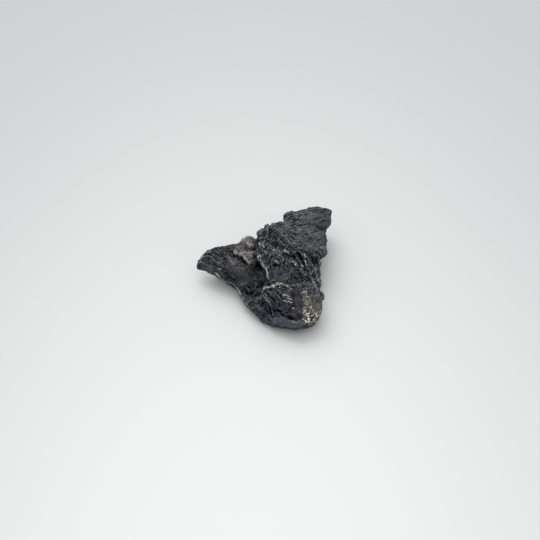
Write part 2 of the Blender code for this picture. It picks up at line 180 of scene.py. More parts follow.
# %% Calm places
# name: place and reach in millimetres, and how much of the grooves goes
CALM = {
    "left_arm": ((-13.5, -1.0, 6.0), 8.5, 0.85),
    "arm_root": ((-7.5, -7.0, 5.0), 5.5, 0.85),
    "right_arm": ((15.0, 13.0, 9.0), 9.0, 0.6),
}
CALM_ROUNDS, CALM_EDGE = 12, 2.5
UPWARD_FROM, UPWARD_OVER = 0.35, 0.3  # from where, and over what range, a face looks up

calm = np.zeros(len(points))
for place, reach, amount in CALM.values():
    away = np.linalg.norm(points - np.array(place), axis=1) / reach
    calm = np.maximum(calm, amount * np.clip(CALM_EDGE - CALM_EDGE * away, 0.0, 1.0))
calm *= np.clip((normals[:, 2] - UPWARD_FROM) / UPWARD_OVER, 0.0, 1.0)
soft = smoothed(points, edges_of(iron), CALM_ROUNDS)
write_skin(iron, points + calm[:, None] * (soft - points))
print("calm points:", np.count_nonzero(calm))

# %% [markdown]
# ## Pointing at the skin
# Lips and cracks are easiest to place where they are seen. Each line is a row of places in the
# camera's square view, counted from its top left corner. A ray through each finds the skin.

# %% Lines on the skin
TRACE_STEP = 0.4  # between rays, in the view's units
CRINKLE, CRINKLE_LENGTH = 0.9, 1.6  # how far a line wanders, and over what length
CRINKLE_LAYER = 7.0  # the layer of the noise that the wandering is read from

def view_ray(u, v):
    """The direction in which the camera looks through a place of its view."""
    scale = SENSOR / LENS / VIEW_SIDE
    half = VIEW_SIDE / 2
    return Vector((u - half, 0, 0)) * scale + view_up * (half - v) * scale - towards_camera

def between(line, step):
    """Places along a line, this far apart, that wander a little to both sides."""
    places = []
    for (u0, v0), (u1, v1) in zip(line[:-1], line[1:]):
        count = max(1, round(math.hypot(u1 - u0, v1 - v0) / step))
        places += [(u0 + (u1 - u0) * i / count, v0 + (v1 - v0) * i / count) for i in range(count)]
    places.append(line[-1])
    wander = [noise.noise_vector(Vector((u, v, CRINKLE_LAYER)) / CRINKLE_LENGTH) * CRINKLE
              for u, v in places]
    return [(u + shift.x, v + shift.y) for (u, v), shift in zip(places, wander)]

def trace(tree, line):
    """The points of the skin under a line of the view, in millimetres."""
    hits = [tree.ray_cast(camera.location, view_ray(u, v))[0] for u, v in between(line, TRACE_STEP)]
    return [hit / MM for hit in hits if hit is not None]

def nearness(points, samples, width):
    """How near each point is to a row of samples: 1 on it, 0 beyond its width."""
    result = np.zeros(len(points))
    if not samples:
        return result
    row = np.array(samples)
    low, high = row.min(axis=0) - width, row.max(axis=0) + width
    inside = np.nonzero(((points > low) & (points < high)).all(axis=1))[0]
    tree = kdtree.KDTree(len(samples))
    for i, sample in enumerate(samples):
        tree.insert(sample, i)
    tree.balance()
    away = np.array([tree.find(points[i])[2] for i in inside])
    result[inside] = np.clip(1.0 - away / width, 0.0, 1.0)
    return result

middle = [(VIEW_SIDE / 2, VIEW_SIDE / 2)]
print("the middle of the view meets the skin at", trace(skin_tree(iron), middle))

# %% [markdown]
# ## Folds
# Where the iron was folded while soft, low rounded ridges run over it. Each is a line in the
# view with a height and a half-width. They come before the last even grid, which follows them.

# %% Folds
# name: height and half-width in millimetres, and places in the view
FOLDS = {
    "strip_a": (0.3, 0.6, [(270, 228), (276, 229.5), (281, 232), (285, 236.5), (289, 242),
        (293.5, 249)]),
    "strip_b": (0.28, 0.55, [(280, 229.5), (285.5, 233.5), (291, 239), (296, 244), (303, 246.5)]),
    "strip_c": (0.2, 0.5, [(286, 231), (292, 236), (299, 240.5), (308, 243.5)]),
    "strip_d": (0.24, 0.5, [(267, 230.5), (272, 233.5), (277, 237.5), (282, 242.5), (286, 247)]),
    "arm_arc_a": (0.18, 0.6, [(288, 227), (294, 231.5), (301, 235.5), (312, 238)]),
    "arm_arc_b": (0.14, 0.6, [(297, 226.5), (304, 230.5), (314, 232)]),
    "arm_ridge": (0.22, 0.6, [(286, 215.5), (294, 216), (303, 214), (312, 213)]),
    "swirl_a": (0.24, 0.45, [(268, 262), (269, 257.5), (273, 254), (279, 253.4), (283.5, 256),
        (286, 261), (285, 267)]),
    "swirl_b": (0.22, 0.4, [(271.5, 264), (272.5, 259.5), (276, 257), (281, 257.6), (283, 261),
        (282.4, 266)]),
    "mid_fold_a": (0.22, 0.6, [(270, 271), (276, 271.5), (283, 274.5), (289, 280)]),
    "mid_fold_b": (0.28, 0.5, [(286, 268), (292, 272.5), (298, 278), (303, 285)]),
    "left_fold": (0.28, 0.5, [(256, 247), (258, 250.5), (258.6, 254)]),
    "back_fold_a": (0.26, 0.5, [(267.4, 229.5), (267.7, 234), (268, 239.5)]),
    "back_fold_b": (0.24, 0.5, [(262, 232), (260, 237), (261, 243), (264, 249)]),
    "heel_fold_a": (0.32, 0.5, [(253.5, 300), (254.6, 304), (257, 308), (261, 310)]),
    "heel_fold_b": (0.28, 0.5, [(259, 299.5), (262, 303), (265, 308), (267, 314)]),
    "wall_fold_a": (0.16, 0.6, [(272, 321), (279, 325), (288, 326.5), (298, 327)]),
    "wall_fold_b": (0.16, 0.5, [(276, 313), (282, 317.5), (289, 321), (297, 323.4)]),
    "flap_fold_a": (0.24, 0.4, [(267, 291), (271, 293.5), (275, 298), (278, 304)]),
    "flap_fold_b": (0.22, 0.38, [(271, 290), (275, 292.5), (279, 297), (281.5, 303)]),
    "flap_fold_c": (0.22, 0.38, [(274, 288.6), (279, 291.5), (283, 294), (288, 294)]),
    "nose_fold": (0.1, 0.45, [(295, 291), (297, 297), (297.5, 304), (296, 311)]),
    "knob_foot": (0.3, 0.5, [(234.6, 252.8), (238, 253.6), (242.6, 254.6), (245.2, 258.6),
        (248.6, 261.4), (252.4, 262)]),
    "knob_rim": (0.25, 0.4, [(242, 240), (246, 237.5), (250, 238.5), (252.5, 241)]),
}
print("folds:", len(FOLDS))

# %% [markdown]
# ## Cracks
# Where the iron tore, dark cracks run beside the folds: the same kind of line, with a height
# below zero. Cut into the mesh, a crack gets its own shadow from every side.

# %% Cracks
CRACKS = {
    "knob_crack": (-0.55, 0.34, [(233, 255.5), (237, 256.6), (241.2, 257.8), (243.4, 261.7),
        (247.3, 264.4), (253.8, 265.3), (258, 264.4)]),
    "flap_crack": (-0.55, 0.34, [(290.5, 290), (291.6, 293.5), (293, 297), (294.2, 301)]),
    "flap_undercut": (-0.45, 0.36, [(279.5, 286.9), (283, 287), (286.5, 288.3), (289.8, 289.5)]),
    "flap_foot": (-0.4, 0.4, [(269, 283.5), (273, 282), (278, 281), (284, 281.5)]),
    "side_gap_a": (-1.0, 0.7, [(298, 252.4), (300.4, 255.6), (302.2, 259), (303.6, 263),
        (305, 267.4), (308.4, 272.4)]),
    "side_gap_b": (-0.65, 0.42, [(293.6, 256.6), (296, 260), (298.6, 263.6), (300.5, 267.5)]),
    "side_gap_c": (-0.55, 0.4, [(290.7, 265.6), (294, 268), (298, 270.6), (301, 275)]),
    "side_gap_d": (-0.5, 0.38, [(309, 256), (310.4, 260.5), (312, 265), (314, 270)]),
    "side_gap_e": (-0.45, 0.36, [(308.5, 268.5), (310.5, 273), (313.5, 277)]),
    "fold_gap": (-0.45, 0.34, [(276.5, 253.1), (280, 253.4), (283.5, 252)]),
    "eye_shadow": (-0.4, 0.36, [(274, 264.5), (276.7, 265.6), (279.5, 265.4)]),
    "side_slot": (-1.0, 0.5, [(316.4, 282.4), (318, 286), (319.6, 289.5), (321.2, 292.5),
        (321.8, 296)]),
    "groove_a": (-0.5, 0.36, [(277, 309.7), (279.6, 311.3), (282.4, 311.8)]),
    "groove_b": (-0.5, 0.36, [(287, 313), (289, 316), (292, 318.5), (296.5, 320.6)]),
    "short_groove": (-0.45, 0.34, [(288.5, 304), (291, 305.3), (293.5, 306.4)]),
    "heel_groove_a": (-0.5, 0.34, [(269, 304), (270.6, 308.5), (271, 313), (272.6, 317.5)]),
    "heel_groove_b": (-0.5, 0.36, [(272.6, 313.5), (274, 316.5), (275.8, 319)]),
    "hatch_gap_a": (-0.3, 0.3, [(283, 297.6), (286.5, 297.6), (290, 297.6)]),
    "hatch_gap_b": (-0.3, 0.3, [(283, 299.4), (287, 299.9), (292, 301)]),
    "arm_crease": (-0.26, 0.42, [(271.7, 225.4), (279, 226.2), (289, 226.4), (299, 225),
        (306, 225.6)]),
    "arm_notch": (-0.38, 0.36, [(322.6, 227.0), (325, 228.4), (328, 229)]),
    "rim_gap": (-0.32, 0.32, [(218.5, 273.5), (221.5, 277), (226, 279.3), (231, 281.3),
        (236, 284.6), (239.5, 288.6), (243, 295), (246, 301)]),
    "crevice": (-0.35, 0.8, [(264, 272), (265.5, 279), (262, 283.5), (257, 288), (252, 293),
        (246, 293.5)]),
    "nose_gap": (-0.08, 0.34, [(300, 290.5), (301, 297), (301.5, 304), (300.5, 311)]),
    "back_gap_a": (-0.24, 0.34, [(258, 236), (256.4, 240), (256, 245)]),
    "back_gap_b": (-0.32, 0.34, [(264.6, 231.5), (264.6, 236), (266, 241)]),
    "neck_gap": (-0.36, 0.34, [(253.6, 250), (254.6, 256), (256.6, 262)]),
    "heel_gap": (-0.45, 0.36, [(257, 300), (258.6, 304), (262, 306.6)]),
    "heel_layer_a": (-0.4, 0.34, [(256, 308), (260, 313), (265, 317.5), (270, 321)]),
    "heel_layer_b": (-0.35, 0.32, [(262, 304), (265.5, 309), (268, 314), (270.5, 318)]),
    "wall_edge": (-0.3, 0.32, [(266, 322.4), (274, 325), (284, 327.6), (294, 328.6)]),
}
# Single dabs: height and radius in millimetres, and places
DABS = [
    (-0.8, 0.8, [(300.6, 257.6), (306.4, 269.6), (316.4, 260)]),
    (-0.45, 0.42, [(298.3, 252.4), (303.3, 253.3), (304.7, 259.2), (292.2, 257.2), (216.3, 260.3),
        (205.7, 262.8), (223.4, 268.9), (232.3, 267.5), (238.4, 259.4), (277.2, 246.1),
        (282.2, 247.2), (319, 280), (236.8, 291.7), (260, 241.1), (296, 308), (258, 288),
        (265.5, 282.5), (252, 294), (247, 291), (285, 262), (288, 259)]),
]
print("cracks:", len(CRACKS))

# %% [markdown]
# ## Work them in
# All lines are laid on one skin and pushed at once, so none shifts another. Their height
# wanders, as torn metal's does.

# %% Work folds and cracks into the skin
SHARPNESS = 1.3  # how pointed the crest of a fold or the bottom of a crack is
HEIGHT_WANDER, WANDER_SEED = 1.2, 4.0  # how much the height of a line wanders
CRUMB = 0.7  # the length in millimetres over which it wanders

def work_lines(obj, lines, crumb):
    """Raise or cut every line, with a height that wanders over this length."""
    tree = skin_tree(obj)
    points, _ = read_skin(obj)
    wander = 1.0 + noise_at(points, crumb, WANDER_SEED, HEIGHT_WANDER)
    height = np.zeros(len(points))
    for rise, width, *_, line in lines:
        near = nearness(points, trace(tree, line), width)
        height += rise * near ** SHARPNESS * wander
    push(obj, height)

dabs = [(rise, radius, [place, place]) for rise, radius, places in DABS for place in places]
work_lines(iron, [*FOLDS.values(), *CRACKS.values(), *dabs], CRUMB)
print("dabs:", len(dabs))

# %% [markdown]
# ## Scales and notches of the outline
# Torn iron has a ragged outline. A ray grazes the skin there and would miss it, so these marks
# move every point near the line of sight that turns away from the viewer.

# %% Outline marks
# height and radius in millimetres, and a place in the view
EDGE_MARKS = [
    (-1.4, 2.4, (322.8, 263)), (0.5, 1.4, (325.4, 252.4)), (-0.5, 0.8, (326.8, 229.6)),
    (0.6, 0.9, (258.6, 232.8)), (-0.6, 0.9, (255.6, 237)), (-0.5, 0.7, (263.4, 228.8)),
    (0.6, 0.9, (266.6, 225.8)), (-0.5, 0.7, (269.8, 225.8)), (0.3, 0.8, (274, 224)),
    (0.4, 0.9, (287, 214.6)), (-0.4, 0.7, (283.6, 221)), (-0.4, 0.8, (293.4, 213.6)),
    (-0.4, 0.8, (239.6, 247)), (-0.3, 0.8, (222, 250.8)), (-0.4, 0.8, (203.6, 256.4)),
    (0.4, 0.8, (199, 261)), (0.3, 0.8, (208, 250.6)), (-0.4, 0.8, (233, 285)),
]
TURNED_FROM, TURNED_SLOPE = 1.6, 2.0  # how far a face must turn from the viewer to be moved

def mark_edge(obj, height, radius, place):
    """Raise or press the skin where it turns away from the viewer near a line of sight."""
    points, normals = read_skin(obj)
    sight = np.array(view_ray(*place).normalized())
    offset = points - np.array(camera.location / MM)
    away = np.linalg.norm(offset - (offset @ sight)[:, None] * sight, axis=1)
    turned = np.clip(TURNED_FROM - TURNED_SLOPE * np.abs(normals @ sight), 0.0, 1.0)
    push(obj, height * turned * np.clip(1.0 - away / radius, 0.0, 1.0))

for mark in EDGE_MARKS:
    mark_edge(iron, *mark)
print("outline marks:", len(EDGE_MARKS))

# %% [markdown]
# ## The way the metal flowed
# Each part was drawn out in its own direction while it tore. Seeds, each with a place, a
# direction and a reach, set the flow, which goes in circles around a whorl.

# %% Flow
# name: place, direction, reach, all in millimetres, and how strong the relief is there
SEEDS = {
    "left_arm": ((-13, -1, 7), (0.74, -0.67, 0), 8.0, 0.45),
    "arm_root": ((-6, -7, 5), (0.55, -0.8, -0.2), 4.5, 0.36),
    "knob": ((-5.5, 2, 10), (0.5, -0.8, 0.3), 2.5, 0.5),
    "back_edge": ((-1, 8, 10), (0.35, 0.93, 0), 4.0, 0.7),
    "middle_left": ((0, 0, 9), (0.3, -0.95, 0), 3.0, 0.6),
    "middle": ((6, -7, 8.5), (0.72, -0.69, 0), 4.5, 0.32),
    "strip": ((6, 8, 11), (0.72, -0.69, 0), 3.5, 0.5),
    "right_arm": ((16, 15, 10), (0.95, 0.3, 0), 7.0, 0.15),
    "right_side": ((13, -3, 8.5), (0.4, -0.88, -0.2), 4.5, 1.0),
    "flap": ((4, -15, 9), (0.72, -0.69, 0), 4.0, 0.6),
    "nose_right": ((14, -15, 8), (0.25, -0.97, 0), 4.5, 0.5),
    "nose_wall": ((8, -23, 3), (0.97, -0.1, 0.2), 7.0, 0.18),
    "right_wall": ((18, -8, 4), (0.1, 0.97, 0.2), 6.0, 0.9),
    "arm_wall": ((20, 12, 6), (0.15, 0.9, 0.4), 6.0, 0.9),
    "back_wall": ((8, 19, 6), (0.8, 0.6, 0.1), 8.0, 1.0),
    "left_back": ((-10, 7, 5), (0.95, 0.1, 0.2), 7.0, 0.8),
    "underside": ((2, -2, 0), (0.45, 0.89, 0), 10.0, 0.9),
}
# name: place and reach in millimetres
WHORLS = {
    "eye": ((3.6, -2.6, 9.3), 3.2),
    "heel": ((-1.5, -17, 5), 2.5),
}
FALL, WHORL_PULL = 2.0, 2.0  # how fast a pull falls off, and how strong a whorl's is
WHORL_EYE = 0.1  # millimetres around a whorl's middle in which its flow dies away
TINY = 1e-9  # keeps a division from meeting zero

def pull(points, place, reach):
    """How strongly a seed acts on each point: 1 at its place, less away from it."""
    away = np.linalg.norm(points - np.array(place), axis=1) / reach
    return np.exp(-FALL * away ** 2)

def relief_strength(points):
    """How strong the relief is at each point, mixed from the seeds around it."""
    total, weights = np.zeros(len(points)), np.full(len(points), TINY)
    for place, _, reach, strength in SEEDS.values():
        near = pull(points, place, reach)
        total += near * strength
        weights += near
    return total / weights

def flow(points):
    """The direction in which the metal was drawn at each point."""
    total = np.zeros(points.shape)
    for place, direction, reach, _ in SEEDS.values():
        total += pull(points, place, reach)[:, None] * np.array(direction)
    for place, reach in WHORLS.values():
        offset = points - np.array(place)
        away = np.linalg.norm(offset, axis=1)
        around = np.cross(offset / (away[:, None] + WHORL_EYE), (0, 0, 1.0))
        total += WHORL_PULL * pull(points, place, reach)[:, None] * around
    return total / (np.linalg.norm(total, axis=1)[:, None] + TINY)

def fibres(points, size, length, seed, steps=5):
    """Noise smeared along the flow into fibres of about this length, scaled to spread by 1."""
    total = noise_at(points, size, seed)
    for way in (-1, 1):
        walk = points.copy()
        for _ in range(steps):
            walk += flow(walk) * way * length / (2 * steps)
            total += noise_at(walk, size, seed)
    return total / total.std()

print("flow from", len(SEEDS), "seeds and", len(WHORLS), "whorls")

# %% [markdown]
# ## Splinters
# Torn iron breaks into long slivers at slightly different angles. Voronoi cells stretched along
# the flow give them: each is tilted at random, and its border is cut in. Hair-thin ridges and
# slits follow the flow between them.

# %% Splinter helpers
BORDER_WIDTH = 0.14  # of a cell's size
CELL_MIDDLE = Vector((0.5, 0.5, 0.5))  # of the random values that a cell can have

def hair_lines(points, size, length, seed, width):
    """1 on thin curved lines that follow the flow, and 0 between them."""
    return np.clip(1.0 - np.abs(fibres(points, size, length, seed)) / width, 0.0, 1.0)

def along_and_across(points):
    """Each point as its nearest seed sees it: along the flow, across it, and up."""
    seeds = list(SEEDS.values())
    away = [np.linalg.norm(points - np.array(s[0]), axis=1) / s[2] for s in seeds]
    nearest = np.argmin(away, axis=0)
    turns = [np.array(Vector(s[1]).to_track_quat("X", "Z").to_matrix().transposed()) for s in seeds]
    return np.einsum("nij,nj->ni", np.array(turns)[nearest], points)

def splinters(points, size, stretch, seed):
    """Height of randomly tilted cells, and 1 on their borders."""
    height, border = np.zeros((2, len(points)))
    for i, place in enumerate(along_and_across(points) / size):
        local = Vector(place)
        local.x = local.x / stretch + seed
        away, places = noise.voronoi(local)
        tilt = noise.cell_vector(places[0]) - CELL_MIDDLE
        height[i] = tilt.dot(local - places[0])
        border[i] = away[1] - away[0]
    return height, np.clip(1.0 - border / BORDER_WIDTH, 0.0, 1.0)

# %% Splinters
LARGE_KIND, SMALL_KIND = (1.3, 2.6, 3.0), (0.65, 1.8, 9.0)  # size, stretch and seed
SPLINTER_TILT, SPLINTER_GAP = 0.55, 0.16
SMALL_TILT, SMALL_GAP = 0.22, 0.06
HAIR, SLIT, CORD = 0.16, 0.18, 0.06
HAIR_FLOOR = 0.2  # the share of the hairs and slits that even a calm place keeps
# size, length and seed
HAIR_KIND, SLIT_KIND, CORD_KIND = (0.85, 2.4, 2.0), (1.1, 3.0, 15.0), (0.9, 4.0, 6.0)
HAIR_WIDTH, SLIT_WIDTH = 0.4, 0.3
DENTS, PITS = (1.2, 11.0, 0.10), (0.5, 12.0, 0.06)  # size, seed and depth

even_skin(iron, FINE_VOXEL, FINE_ROUNDS)
points, _ = read_skin(iron)
print("fine skin:", len(points), "points,", 2 * len(iron.data.polygons), "triangles")
strength = relief_strength(points)
tilt, border = splinters(points, *LARGE_KIND)
small_tilt, small_border = splinters(points, *SMALL_KIND)
cords = fibres(points, *CORD_KIND)
hairs = hair_lines(points, *HAIR_KIND, HAIR_WIDTH)
slits = hair_lines(points, *SLIT_KIND, SLIT_WIDTH)
height = strength * (SPLINTER_TILT * tilt - SPLINTER_GAP * border
                     + SMALL_TILT * small_tilt - SMALL_GAP * small_border + CORD * cords)
height += (HAIR_FLOOR + (1.0 - HAIR_FLOOR) * strength) * (HAIR * hairs - SLIT * slits)
height += noise_at(points, *DENTS)
height += noise_at(points, *PITS)
push(iron, height)

# %% [markdown]
# ## Lips
# The thinnest torn edges curled up and were rubbed bright. They are hair-thin, crinkled and
# often broken off, so they are raised last, on the finest skin, as short strokes and flecks.

# %% Lips
# name: height and half-width in millimetres, shine from 0 up, and places in the view
LIPS = {
    "left_lip": (0.42, 0.34, 1.0, [(258.8, 255), (258.2, 257.5), (258.6, 260), (260.5, 263),
        (262.3, 265.3), (264.2, 267.2), (266.6, 269.2), (267.2, 272), (267.4, 275), (267.9, 278),
        (269.5, 280)]),
    "left_strand": (0.28, 0.3, 0.8, [(260.6, 255.5), (260.2, 258.5), (261.6, 261.5),
        (263.3, 264.5)]),
    "flap_left": (0.35, 0.32, 0.8, [(262.3, 292.2), (262.8, 290), (264.6, 288), (267.5, 287.4),
        (269.8, 287.6)]),
    "crust_a": (0.32, 0.3, 1.2, [(270.4, 287.4), (271.8, 285), (273.2, 286.8), (274.8, 283.6),
        (276.2, 286.2), (277.8, 283), (279.2, 285.4), (281, 283), (282.6, 285)]),
    "crust_b": (0.22, 0.26, 0.9, [(272.4, 288.4), (274, 287.4)]),
    "crust_c": (0.22, 0.26, 0.9, [(278.6, 287.4), (280.4, 286.8)]),
    "flap_right": (0.3, 0.3, 0.9, [(284.5, 285.3), (287, 286.3), (289.6, 287.2), (291.6, 289.3)]),
    "flap_side_a": (0.18, 0.24, 0.65, [(262.3, 292.2), (263.5, 295.5), (265.5, 298.6),
        (268, 301.3), (270, 303.5)]),
    "flap_side_b": (0.14, 0.24, 0.45, [(264.6, 293.5), (266, 296.5), (268.3, 299.5)]),
    "heel_strand": (0.15, 0.24, 0.5, [(270, 303.5), (271.2, 307), (271.8, 311), (273.2, 315),
        (275.5, 318.5)]),
    "rim_a": (0.3, 0.36, 1.0, [(215.7, 272.8), (217.5, 274.8), (219, 276.8), (220.7, 278.9)]),
    "rim_b": (0.18, 0.28, 0.4, [(222, 279), (225, 280.8), (229, 282.6), (233, 284.4),
        (236.5, 286.8)]),
    "rim_c": (0.22, 0.28, 0.7, [(237, 288), (238.6, 290.4), (240, 293), (241.8, 296.8)]),
    "rim_d": (0.22, 0.28, 0.55, [(242.6, 298), (244.5, 301.4), (247.3, 305), (249.6, 308)]),
    "tip_fleck": (0.22, 0.4, 0.7, [(207, 252.8), (208.5, 251.8), (210.5, 251.2)]),
    "tip_edge": (0.18, 0.34, 0.35, [(199.4, 263), (201.6, 259), (204.5, 255.4)]),
    "arm_dash": (0.2, 0.32, 0.7, [(217.3, 269.3), (219.5, 269.1), (221.8, 269.6)]),
    "eye": (0.42, 0.52, 1.5, [(274.8, 260.8), (276.2, 261), (277.4, 262.2), (278.6, 263.6)]),
    "eye_arc_a": (0.2, 0.28, 0.35, [(277.8, 255), (281, 256.3), (283.2, 259), (283.3, 262.5)]),
    "eye_arc_b": (0.18, 0.26, 0.3, [(276.5, 257.4), (279.6, 258.6), (281, 261)]),
    "eye_arc_c": (0.18, 0.28, 0.3, [(269.5, 255.5), (273, 253.4), (278.9, 252.6)]),
    "glint_a": (0.3, 0.36, 1.1, [(283.4, 251.4), (285.2, 250), (287.4, 251.4), (288.7, 253.8)]),
    "glint_b": (0.28, 0.34, 0.9, [(285, 252.4), (286.4, 252)]),
    "glint_c": (0.2, 0.3, 0.6, [(273.6, 250.8), (274.8, 249.6)]),
    "nub_a": (0.5, 0.55, 1.1, [(303.4, 254.2), (305, 254.8), (305.4, 256.8)]),
    "nub_b": (0.45, 0.48, 1.1, [(304.9, 260.6), (305.6, 262.6)]),
    "nub_c": (0.45, 0.48, 1.1, [(295, 264), (296.4, 265.6)]),
    "nub_d": (0.35, 0.42, 0.8, [(292.6, 261.2), (294, 263)]),
    "nub_e": (0.4, 0.42, 1.0, [(301.8, 264.8), (302.6, 266.6)]),
    "nub_f": (0.3, 0.34, 0.7, [(298.6, 247.6), (301.4, 248.8)]),
    "strand_a": (0.3, 0.32, 0.5, [(296, 249), (299.5, 251), (301, 253)]),
    "strand_b": (0.3, 0.3, 0.45, [(305.8, 264), (307.4, 267), (309.4, 270.5), (311.5, 275)]),
    "strand_c": (0.26, 0.28, 0.4, [(301.6, 269), (303.6, 272), (306, 276.5)]),
    "strand_d": (0.35, 0.34, 1.0, [(310, 277.4), (311.6, 278.2), (313, 279.2)]),
    "strand_e": (0.3, 0.32, 0.6, [(313, 281), (315, 284), (316.2, 288)]),
    "strand_f": (0.3, 0.32, 0.4, [(311, 262), (313.5, 268), (315.5, 274)]),
    "strand_g": (0.24, 0.28, 0.3, [(297.4, 258), (299.6, 261.5), (301.2, 265)]),
    "hatch_a": (0.28, 0.36, 1.0, [(283, 295.4), (286, 295.4), (289.6, 296.4)]),
    "hatch_b": (0.25, 0.3, 0.8, [(286.8, 298.4), (290, 298.8), (293, 299.6)]),
    "hatch_c": (0.25, 0.32, 0.9, [(282.8, 300.4), (285, 300.8), (287, 302)]),
    "hatch_d": (0.22, 0.28, 0.7, [(288.6, 301), (290.6, 302), (292.4, 302.6)]),
    "ring_bump": (0.28, 0.34, 0.8, [(292.2, 308.8), (293.2, 307.8), (294.4, 308.2)]),
    "flange_top": (0.3, 0.36, 0.5, [(318.4, 279.8), (320.3, 282), (320.6, 285)]),
    "flange_low": (0.28, 0.36, 0.4, [(322, 297), (323.4, 299.6), (323.6, 303)]),
    "fleck_a": (0.22, 0.3, 0.8, [(259.2, 243), (260.4, 244.6)]),
    "fleck_b": (0.22, 0.3, 0.7, [(262.4, 245.4), (264.2, 246.8)]),
    "fleck_c": (0.22, 0.28, 0.45, [(262.2, 249.4), (263, 253)]),
    "fleck_d": (0.22, 0.28, 0.4, [(265, 250), (266, 253.4)]),
    "fleck_e": (0.22, 0.3, 0.4, [(267.4, 230.4), (267.8, 233.4)]),
    "side_rim": (0.24, 0.32, 0.45, [(319, 258.8), (319.4, 262), (319.6, 265.5)]),
    "elbow_arc": (0.25, 0.3, 0.6, [(313, 255.8), (315.4, 254.8), (318, 255.6), (319.4, 257.6)]),
    "side_nub": (0.32, 0.4, 0.7, [(315.4, 268), (316.6, 269.4)]),
    "eye_nub": (0.25, 0.3, 0.7, [(286, 262.4), (287, 263.8)]),
    "break_ridge": (0.25, 0.3, 0.8, [(311.8, 309), (314.5, 310.4), (318, 311.4), (322, 312)]),
    "break_nub_a": (0.35, 0.42, 1.3, [(317.8, 315.3), (319, 316.3)]),
    "break_nub_b": (0.3, 0.36, 1.2, [(313.4, 321.4), (315, 322)]),
    "break_nub_c": (0.3, 0.36, 0.9, [(321, 311.8), (322.4, 312.6)]),
    "knob_glint": (0.18, 0.28, 0.7, [(244.2, 255.6), (245, 257.4), (244.2, 259.2)]),
    "heel_fleck": (0.26, 0.32, 0.4, [(255.5, 300.6), (257, 302.4)]),
}
LIP_CRUMB = 0.4
work_lines(iron, LIPS.values(), LIP_CRUMB)
print("lips:", len(LIPS))

# %% [markdown]
# ## A granular break
# At the nose the iron broke instead of tearing, and the break shows its crystals: bright grains
# about half a millimetre across, with dark gaps. Round Voronoi cells make them.

# %% Grain helpers
def areas(tree, points, places, wander, edge=0.8):
    """1 inside any of the round areas, fading to 0 over a ragged edge this wide."""
    mask = np.zeros(len(points))
    for u, v, radius in places:
        hit = tree.ray_cast(camera.location, view_ray(u, v))[0]
        if hit is not None:
            away = np.linalg.norm(points - np.array(hit / MM), axis=1)
            mask = np.maximum(mask, (radius - away) / edge + wander)
    return np.clip(mask, 0.0, 1.0)

GAP_WIDTH, GAP_DEPTH, GAP_FLAT = 0.16, 0.35, 1.6
GRAIN_TILT, GRAIN_DOME, DOME_REACH = 0.9, 0.8, 0.7
SHINE_SPREAD, SHINE_FROM = 1.8, 0.1
APART = 7.3  # spreads the cells' places out, so that each gets random values of its own

def grains(points, size, seed):
    """Round grains, domed and tilted, with gaps: their height, and how brightly each shines."""
    height, shine = np.zeros((2, len(points)))
    for i, point in enumerate(points):
        place = Vector(point) / size + Vector((seed, 0, 0))
        away, places = noise.voronoi(place)
        own = noise.cell_vector(places[0] * APART)
        gap = min(1.0, max(0.0, GAP_FLAT - (away[1] - away[0]) / GAP_WIDTH))
        height[i] = GRAIN_TILT * (own - CELL_MIDDLE).dot(place - places[0])
        height[i] -= GRAIN_DOME * min(away[0], DOME_REACH) + GAP_DEPTH * gap
        shine[i] = (SHINE_SPREAD * own.x - SHINE_FROM) * (1.0 - gap)
    return height, shine

# %% Grains
FINE_KIND, COARSE_KIND = (0.46, 5.0), (0.66, 8.0)  # size and seed
GRAIN_PUSH, FINE_SHARE, FINE_HEIGHT, COARSE_FROM = 0.45, 0.85, 0.6, 0.3
RAGGED = (0.8, 21.0, 0.9)  # size, seed and amount of the noise of its border
# place in the view and radius in millimetres of the round areas that make up the break
FINE_BREAK = [
    (305.4, 291.6, 1.1), (307.4, 294, 0.9), (306.4, 297.4, 1.3), (307.4, 301.4, 1.4),
    (308, 305.4, 1.6), (307, 309, 1.5),
]
COARSE_BREAK = [
    (308.5, 312, 1.7), (313, 314, 2.0), (309, 318, 1.9), (315, 318, 2.3), (319.5, 314.5, 1.7),
    (306.6, 321, 1.3), (312, 321.5, 1.8),
]

tree = skin_tree(iron)
points, _ = read_skin(iron)
ragged = noise_at(points, *RAGGED)
coarse = areas(tree, points, COARSE_BREAK, ragged)
broken = np.maximum(areas(tree, points, FINE_BREAK, ragged) * FINE_SHARE, coarse)
inside = np.nonzero(broken > 0)[0]
fine_height, fine_shine = grains(points[inside], *FINE_KIND)
coarse_height, coarse_shine = grains(points[inside], *COARSE_KIND)
share = (coarse[inside] > COARSE_FROM).astype(float)
grain_height, grain_shine = np.zeros((2, len(points)))
grain_height[inside] = share * coarse_height + (1.0 - share) * FINE_HEIGHT * fine_height
grain_shine[inside] = share * coarse_shine + (1.0 - share) * FINE_HEIGHT * fine_shine
push(iron, GRAIN_PUSH * broken * grain_height)
points, _ = read_skin(iron)
points[:, 2] = np.maximum(points[:, 2], 0.0)  # nothing goes into the table
write_skin(iron, points)
print("broken area:", len(inside), "points")

# %% [markdown]
# ## Where the finish changes
# The finish follows the shape: crests are rubbed bright, and hollows are painted dark as shade.
# Comparing the skin with a smoothed copy of itself tells them apart. Masks are stored on the mesh
# as attributes, which the material reads by name.

# %% Crests and grains
CREST_FROM, CREST_OVER = 0.012, 0.035  # millimetres above the smoothed skin
FINE_SMOOTHING, BROAD_SMOOTHING = 4, 60

def store(obj, name, values):
    """Keep one number for each point on the mesh."""
    mask = np.clip(values, 0.0, 1.0).astype(np.float32)
    obj.data.attributes.new(name, "FLOAT", "POINT").data.foreach_set("value", mask)
    print(name, "mean", round(float(mask.mean()), 3))

